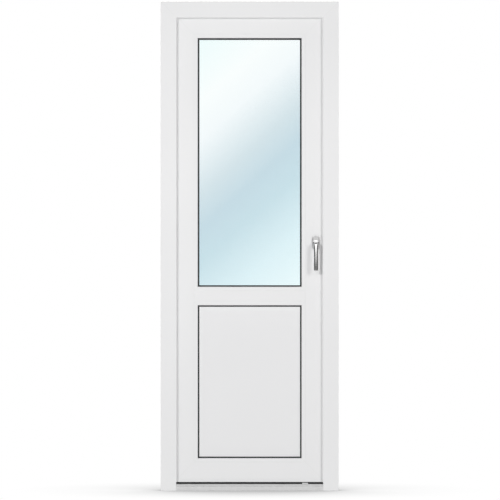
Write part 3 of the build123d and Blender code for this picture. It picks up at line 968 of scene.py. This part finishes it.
class MakeLockEdge(bpy.types.Operator):
    """Make the slotted faceplate and keeps with their screws"""

    bl_idname = "balcony_door.lock_edge"
    bl_label = "Lock edge"

    def execute(self, context):
        sizes = settings().fittings
        colours = settings().colours
        zinc = metal("zinc_plate", colours.zinc, 0.34, (260.0, 260.0, 12.0), 0.00002, 0.06)
        bright = metal("screw_steel", colours.steel, 0.30, (300.0, 300.0, 300.0))
        low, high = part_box("lock_faceplate")
        span = high.z - low.z
        slots = [low.z + span * at for at in FACEPLATE_SLOTS]
        self.plate("lock_faceplate", "leaf", zinc, slots, sizes.pocket_w, sizes.pocket_l, 1.0)
        middle_y = middle("lock_faceplate")[1]
        places = [(high.x, middle_y, low.z + span * at) for at in FACEPLATE_SCREWS]
        right, left, up = (1.0, 0.0, 0.0), (-1.0, 0.0, 0.0), (0.0, 0.0, 1.0)
        screws("faceplate_screws", bright, "leaf", places, right, up)
        places = []
        for level in LEVELS:
            _, middle_y, middle_z = middle(f"keep_{level}")
            face_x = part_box(f"keep_{level}")[0].x
            slot_w, slot_l = sizes.keep_pocket_w, sizes.keep_pocket_l
            self.plate(f"keep_{level}", "frame", zinc, [middle_z], slot_w, slot_l, -1.0)
            places += [(face_x, middle_y, middle_z + offset) for offset in KEEP_SCREWS]
        screws("keep_screws", bright, "frame", places, left, up)
        return {"FINISHED"}

    def plate(self, name, body, material, slots, slot_w, slot_l, out):
        """A flat strip with half-round slots sunk in it.

        The strip's section is carried up its length, and two of its points open by the slot's half
        width at that height: the root of the radius squared less the distance into the end squared.
        """
        low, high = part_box(name)
        radius = slot_w / 2
        straight = slot_l / 2 - radius
        sweep = np.sin(arc(-90, 90, 15))
        ends = [low.z, high.z]
        for slot in slots:
            ends += list(slot + np.sign(sweep) * straight + radius * sweep)
            ends += [slot - straight, slot + straight]
        z = np.unique(np.round(ends, 7))
        into = np.full_like(z, np.inf)
        for slot in slots:
            into = np.minimum(into, np.maximum(np.abs(z - slot) - straight, 0))
        open_half = np.sqrt(np.clip(radius ** 2 - into ** 2, 0, None))
        open_half[into > radius - HAIR] = 0.0
        deep = np.where(open_half > 0, SLOT_D, 0.0)
        edge = settings().fittings.plate_edge
        face_x = high.x if out > 0 else low.x
        back_x = low.x if out > 0 else high.x
        middle_y = middle(name)[1]
        half = (high.y - low.y) / 2
        one = np.ones_like(z)
        rounding = arc(0, 90, 5)
        left_y = [-half + edge * (1 - math.cos(t)) for t in rounding]
        left_x = [face_x - out * edge * (1 - math.sin(t)) for t in rounding]
        section_y = [-half * one] + [v * one for v in left_y]
        section_y += [-open_half, -open_half, open_half, open_half]
        section_y += [-v * one for v in reversed(left_y)] + [half * one]
        section_x = [back_x * one] + [v * one for v in left_x]
        section_x += [face_x * one, face_x - out * deep, face_x - out * deep, face_x * one]
        section_x += [v * one for v in reversed(left_x)] + [back_x * one]
        y = middle_y + np.stack(section_y, axis=-1)
        x = np.stack(section_x, axis=-1)
        shape = Surface()
        grid = np.stack([x, y, np.broadcast_to(z[:, None], x.shape)], axis=-1)
        shape.add(grid, round_columns=True, cap_first=True, cap_last=True)
        return shape.build(f"{name}_slotted", material, body, [name])


class MakeStage(bpy.types.Operator):
    """Set up the camera, lamps, floor and background"""

    bl_idname = "balcony_door.stage"
    bl_label = "Stage"

    def execute(self, context):
        stage = settings().stage
        self.camera(stage)
        self.floor(stage)
        self.background(stage)
        rose_x, _, rose_z = middle("handle_rose")
        aim = Vector((rose_x, cad_low.y, rose_z))
        level = math.tan(stage.lamp_elevation)
        left_turn, right_turn = stage.left_azimuth, stage.right_azimuth
        for name, azimuth, light, spread in (
            ("left_lamp", -left_turn, stage.left_light, stage.left_spread),
            ("right_lamp", right_turn, stage.right_light, stage.right_spread),
            ("back_left_lamp", math.pi + left_turn, stage.back_light / 2, stage.left_spread),
            ("back_right_lamp", math.pi - right_turn, stage.back_light / 2, stage.left_spread),
        ):
            step = Vector((math.sin(azimuth), -math.cos(azimuth), level)) * stage.lamp_distance
            self.lamp(name, aim, step, light, spread)
        aim = Vector((0.0, cad_low.y, stage.front_z))
        step = Vector((0.0, -stage.front_distance, 0.0))
        self.lamp("front_lamp", aim, step, stage.front_light, stage.front_spread)
        bpy.context.scene.view_settings.view_transform = "Standard"
        return {"FINISHED"}

    def camera(self, stage):
        """A long lens far off, level with the middle of the door."""
        data = bpy.data.cameras.new("camera")
        data.sensor_width = SENSOR_W
        data.lens = data.sensor_width * stage.distance / stage.view_w
        data.clip_end = 10 * stage.distance
        front_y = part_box("frame_head")[0].y
        at = Vector((stage.view_x, front_y - stage.distance, stage.view_z))
        bpy.context.scene.camera = self.put("camera", data, at, Vector((0, 1, 0)))

    def put(self, name, data, at, towards):
        """Links a lamp or camera that looks in a direction."""
        made = bpy.data.objects.new(name, data)
        made.location = at
        made.rotation_euler = towards.to_track_quat("-Z", "Y").to_euler()
        bpy.context.scene.collection.objects.link(made)
        return made

    def lamp(self, name, aim, step, light, spread):
        """A round soft lamp a step away from its aim; a light of 1 shows white as white there."""
        reach = step.length
        data = bpy.data.lights.new(name, "AREA")
        data.shape = "DISK"
        data.size = 2 * reach * math.tan(spread / 2)
        data.energy = light * math.pi ** 2 * reach ** 2
        lamp = self.put(name, data, aim + step, -step)
        lamp.visible_camera = False
        lamp.visible_glossy = False
        lamp.visible_transmission = False

    def floor(self, stage):
        """A wide white floor, darker where the door hides its sky, that lights the door evenly."""
        half = stage.floor_half
        mesh = bpy.data.meshes.new("floor")
        corners = [(-half, -half, 0.0), (half, -half, 0.0), (half, half, 0.0), (-half, half, 0.0)]
        mesh.from_pydata(corners, [], [(0, 1, 2, 3)])
        floor = bpy.data.objects.new("floor", mesh)
        bpy.context.scene.collection.objects.link(floor)
        material = bpy.data.materials.new("floor_white")
        material.use_nodes = True
        tree = material.node_tree
        tree.nodes.remove(tree.nodes["Principled BSDF"])
        open_sky = node(
            tree, "ShaderNodeAmbientOcclusion", {"Distance": stage.shadow_reach}, samples=24
        ).outputs["AO"]
        shade = remap(tree, open_sky, 0.0, 1.0, 1.0 - stage.shadow_depth, 1.0)
        seen = node(tree, "ShaderNodeEmission", {"Strength": shade})
        given = node(tree, "ShaderNodeEmission", {"Strength": stage.floor_bounce})
        bounce_ray = node(tree, "ShaderNodeLightPath").outputs["Is Diffuse Ray"]
        both = node(tree, "ShaderNodeMixShader", {0: bounce_ray})
        feed(tree, both.inputs[1], seen.outputs[0])
        feed(tree, both.inputs[2], given.outputs[0])
        feed(tree, tree.nodes["Material Output"].inputs["Surface"], both.outputs[0])
        mesh.materials.append(material)

    def background(self, stage):
        """White where the camera or the glass sees it, and even light elsewhere.

        Gloss sees a white window ahead that widens upwards, between dark walls and a dark ceiling.
        """
        world = bpy.data.worlds.new("studio")
        bpy.context.scene.world = world
        world.use_nodes = True
        tree = world.node_tree
        path = node(tree, "ShaderNodeLightPath")
        way = node(tree, "ShaderNodeTexCoord").outputs["Generated"]
        x, _, height = axes(tree, way)
        half_w = remap(tree, height, 0.0, WINDOW_FLARE, stage.window_w, stage.window_top_w)
        past = calc(tree, "SUBTRACT", calc(tree, "ABSOLUTE", x), half_w)
        below_top = remap(tree, height, *WINDOW_TOP, 1.0, 0.0, soft=True)
        above_foot = remap(tree, height, *WINDOW_FOOT, 0.1, 1.0, soft=True)
        window = remap(tree, past, *WINDOW_EDGE, 1.0, 0.0, soft=True)
        window = calc(tree, "MULTIPLY", calc(tree, "MULTIPLY", window, below_top), above_foot)
        light = remap(tree, height, *WINDOW_GLOW, 1.0, stage.window_light, soft=True)

        def mix(factor, first, second):
            """Result of a Mix node between two numbers."""
            return node(tree, "ShaderNodeMix", {0: factor, 2: first, 3: second}).outputs[0]

        gloss = mix(window, stage.wall_light, light)
        seen = calc(tree, "MAXIMUM", path.outputs["Is Camera Ray"], path.outputs["Is Transmission Ray"])
        level = mix(seen, mix(path.outputs["Is Glossy Ray"], stage.ambient, gloss), 1.0)
        feed(tree, tree.nodes["Background"].inputs["Strength"], level)
        feed(tree, tree.nodes["Background"].inputs["Color"], (1.0, 1.0, 1.0, 1.0))


class FinishPanel(bpy.types.Panel):
    """The door's settings and steps in the sidebar"""

    bl_idname = "BALCONY_DOOR_PT_finish"
    bl_label = "Balcony Door"
    bl_space_type = "VIEW_3D"
    bl_region_type = "UI"
    bl_category = "Balcony Door"

    def draw(self, context):
        for name in BalconyDoor.__annotations__:
            group = getattr(settings(), name)
            box = self.layout.box()
            for key in group.__annotations__:
                box.prop(group, key)
        for operator in OPERATORS:
            self.layout.operator(operator.bl_idname)


GROUPS = (DoorColours, HandleSizes, SealSizes, FittingSizes, StageSizes, BalconyDoor)
OPERATORS = (
    MakeStage,
    DressProfiles,
    DressPanel,
    DressGlass,
    MakeGaskets,
    MakeSeals,
    DressThreshold,
    MakeHandle,
    DressHinges,
    MakeLockEdge,
)
CLASSES = (*GROUPS, *OPERATORS, FinishPanel)


def register():
    for cls in CLASSES:
        bpy.utils.register_class(cls)
    bpy.types.Scene.balcony_door = PointerProperty(type=BalconyDoor)


def unregister():
    del bpy.types.Scene.balcony_door
    for cls in reversed(CLASSES):
        bpy.utils.unregister_class(cls)


def main():
    """Registers the add-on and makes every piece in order."""
    register()
    bpy.ops.balcony_door.stage()
    bpy.ops.balcony_door.profiles()
    bpy.ops.balcony_door.panel()
    bpy.ops.balcony_door.glass()
    bpy.ops.balcony_door.gaskets()
    bpy.ops.balcony_door.seals()
    bpy.ops.balcony_door.threshold()
    bpy.ops.balcony_door.handle()
    bpy.ops.balcony_door.hinges()
    bpy.ops.balcony_door.lock_edge()


if __name__ == "__main__":
    main()
